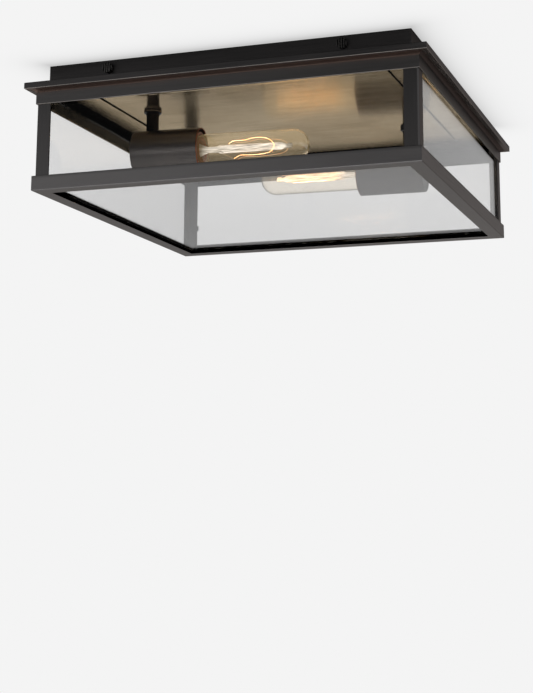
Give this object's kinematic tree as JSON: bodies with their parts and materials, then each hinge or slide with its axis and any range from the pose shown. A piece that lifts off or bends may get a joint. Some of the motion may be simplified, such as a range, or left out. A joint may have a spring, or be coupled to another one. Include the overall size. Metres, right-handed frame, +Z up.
{
  "type": "outdoor flush mount light",
  "caption": "Square flush mount porch light: a dark bronze cage with clear panes hangs from a ceiling pan and holds tubular bulbs on short stems under a brass plate.",
  "frame": {"origin": "middle of the ceiling pan's upper face, which lies on the ceiling", "axes": "+Z up into the ceiling, front at -Y, +X to the right of someone who looks at the front"},
  "size_m": [0.343, 0.343, 0.109],
  "materials": {
    "oil_rubbed_bronze": "dark oil-rubbed bronze, satin, fine horizontal brushing",
    "socket_bronze": "dark satin bronze with bare coppery edges",
    "satin_brass": "aged brushed satin brass",
    "zinc_steel": "zinc plated sheet steel",
    "green_screw": "green dyed earth screw",
    "black_clip": "black spring steel",
    "clear_glass": "clear sheet glass with greenish edges",
    "silicone": "clear silicone",
    "black_phenolic": "moulded red brown phenolic",
    "plated_brass": "bright brass",
    "lead_sheath": "black sheath",
    "connector_plastic": "orange moulded connector",
    "bulb_glass": "clear bulb glass with a faint amber tint",
    "filament_wire": "glowing filament"
  },
  "bodies": {
    "base": {"ceiling_pan": "zinc_steel", "mounting_strap": "zinc_steel", "strap_rivets": "zinc_steel", "ground_screw": "green_screw", "plate_riser": "zinc_steel", "plate_screws": "zinc_steel", "socket_plate": "satin_brass", "stem_collars": "socket_bronze", "stem_nuts": "zinc_steel", "holder_brackets": "zinc_steel", "centre_contacts": "plated_brass", "socket_leads": "lead_sheath", "wire_connectors": "connector_plastic", "stem_left": "socket_bronze", "stem_right": "socket_bronze", "socket_cup_left": "socket_bronze", "socket_cup_right": "socket_bronze", "lampholder_left": "black_phenolic", "lampholder_right": "black_phenolic", "thread_shell_left": "plated_brass", "thread_shell_right": "plated_brass"},
    "cage": {"canopy_skirt": "oil_rubbed_bronze", "cornice_front": "oil_rubbed_bronze", "cornice_right": "oil_rubbed_bronze", "cornice_back": "oil_rubbed_bronze", "cornice_left": "oil_rubbed_bronze", "band_front": "oil_rubbed_bronze", "band_right": "oil_rubbed_bronze", "band_back": "oil_rubbed_bronze", "band_left": "oil_rubbed_bronze", "rail_front": "oil_rubbed_bronze", "rail_right": "oil_rubbed_bronze", "rail_back": "oil_rubbed_bronze", "rail_left": "oil_rubbed_bronze", "post_front_left": "oil_rubbed_bronze", "post_front_right": "oil_rubbed_bronze", "post_back_right": "oil_rubbed_bronze", "post_back_left": "oil_rubbed_bronze", "roof_flange": "satin_brass", "bottom_glass": "clear_glass", "glass_bead": "silicone", "pane_clips": "black_clip", "clinch_nuts": "zinc_steel", "pane_front": "clear_glass", "pane_right": "clear_glass", "pane_back": "clear_glass", "pane_left": "clear_glass"},
    "bulb_left": {"bulb_cap_left": "plated_brass", "bulb_glass_left": "bulb_glass", "bulb_mount_left": "bulb_glass", "filament_left": "filament_wire"},
    "bulb_right": {"bulb_cap_right": "plated_brass", "bulb_glass_right": "bulb_glass", "bulb_mount_right": "bulb_glass", "filament_right": "filament_wire"},
    "thumb_front_left": {"thumb_screw_front_left": "oil_rubbed_bronze"},
    "thumb_front_right": {"thumb_screw_front_right": "oil_rubbed_bronze"},
    "thumb_back_left": {"thumb_screw_back_left": "oil_rubbed_bronze"},
    "thumb_back_right": {"thumb_screw_back_right": "oil_rubbed_bronze"}
  },
  "joints": [
    {"name": "cage_drop", "type": "slide", "parent": "base", "child": "cage", "axis": [0, 0, -1], "range_m": [0, 0.1]},
    {"name": "bulb_left_unscrew", "type": "slide", "parent": "base", "child": "bulb_left", "axis": [0.9962, 0.0872, 0], "range_m": [0, 0.03]},
    {"name": "bulb_right_unscrew", "type": "slide", "parent": "base", "child": "bulb_right", "axis": [-0.9994, -0.0349, 0], "range_m": [0, 0.03]},
    {"name": "thumb_front_left_unscrew", "type": "slide", "parent": "cage", "child": "thumb_front_left", "axis": [0, -1, 0], "range_m": [0, 0.006]},
    {"name": "thumb_front_right_unscrew", "type": "slide", "parent": "cage", "child": "thumb_front_right", "axis": [0, -1, 0], "range_m": [0, 0.006]},
    {"name": "thumb_back_left_unscrew", "type": "slide", "parent": "cage", "child": "thumb_back_left", "axis": [0, 1, 0], "range_m": [0, 0.006]},
    {"name": "thumb_back_right_unscrew", "type": "slide", "parent": "cage", "child": "thumb_back_right", "axis": [0, 1, 0], "range_m": [0, 0.006]}
  ]
}
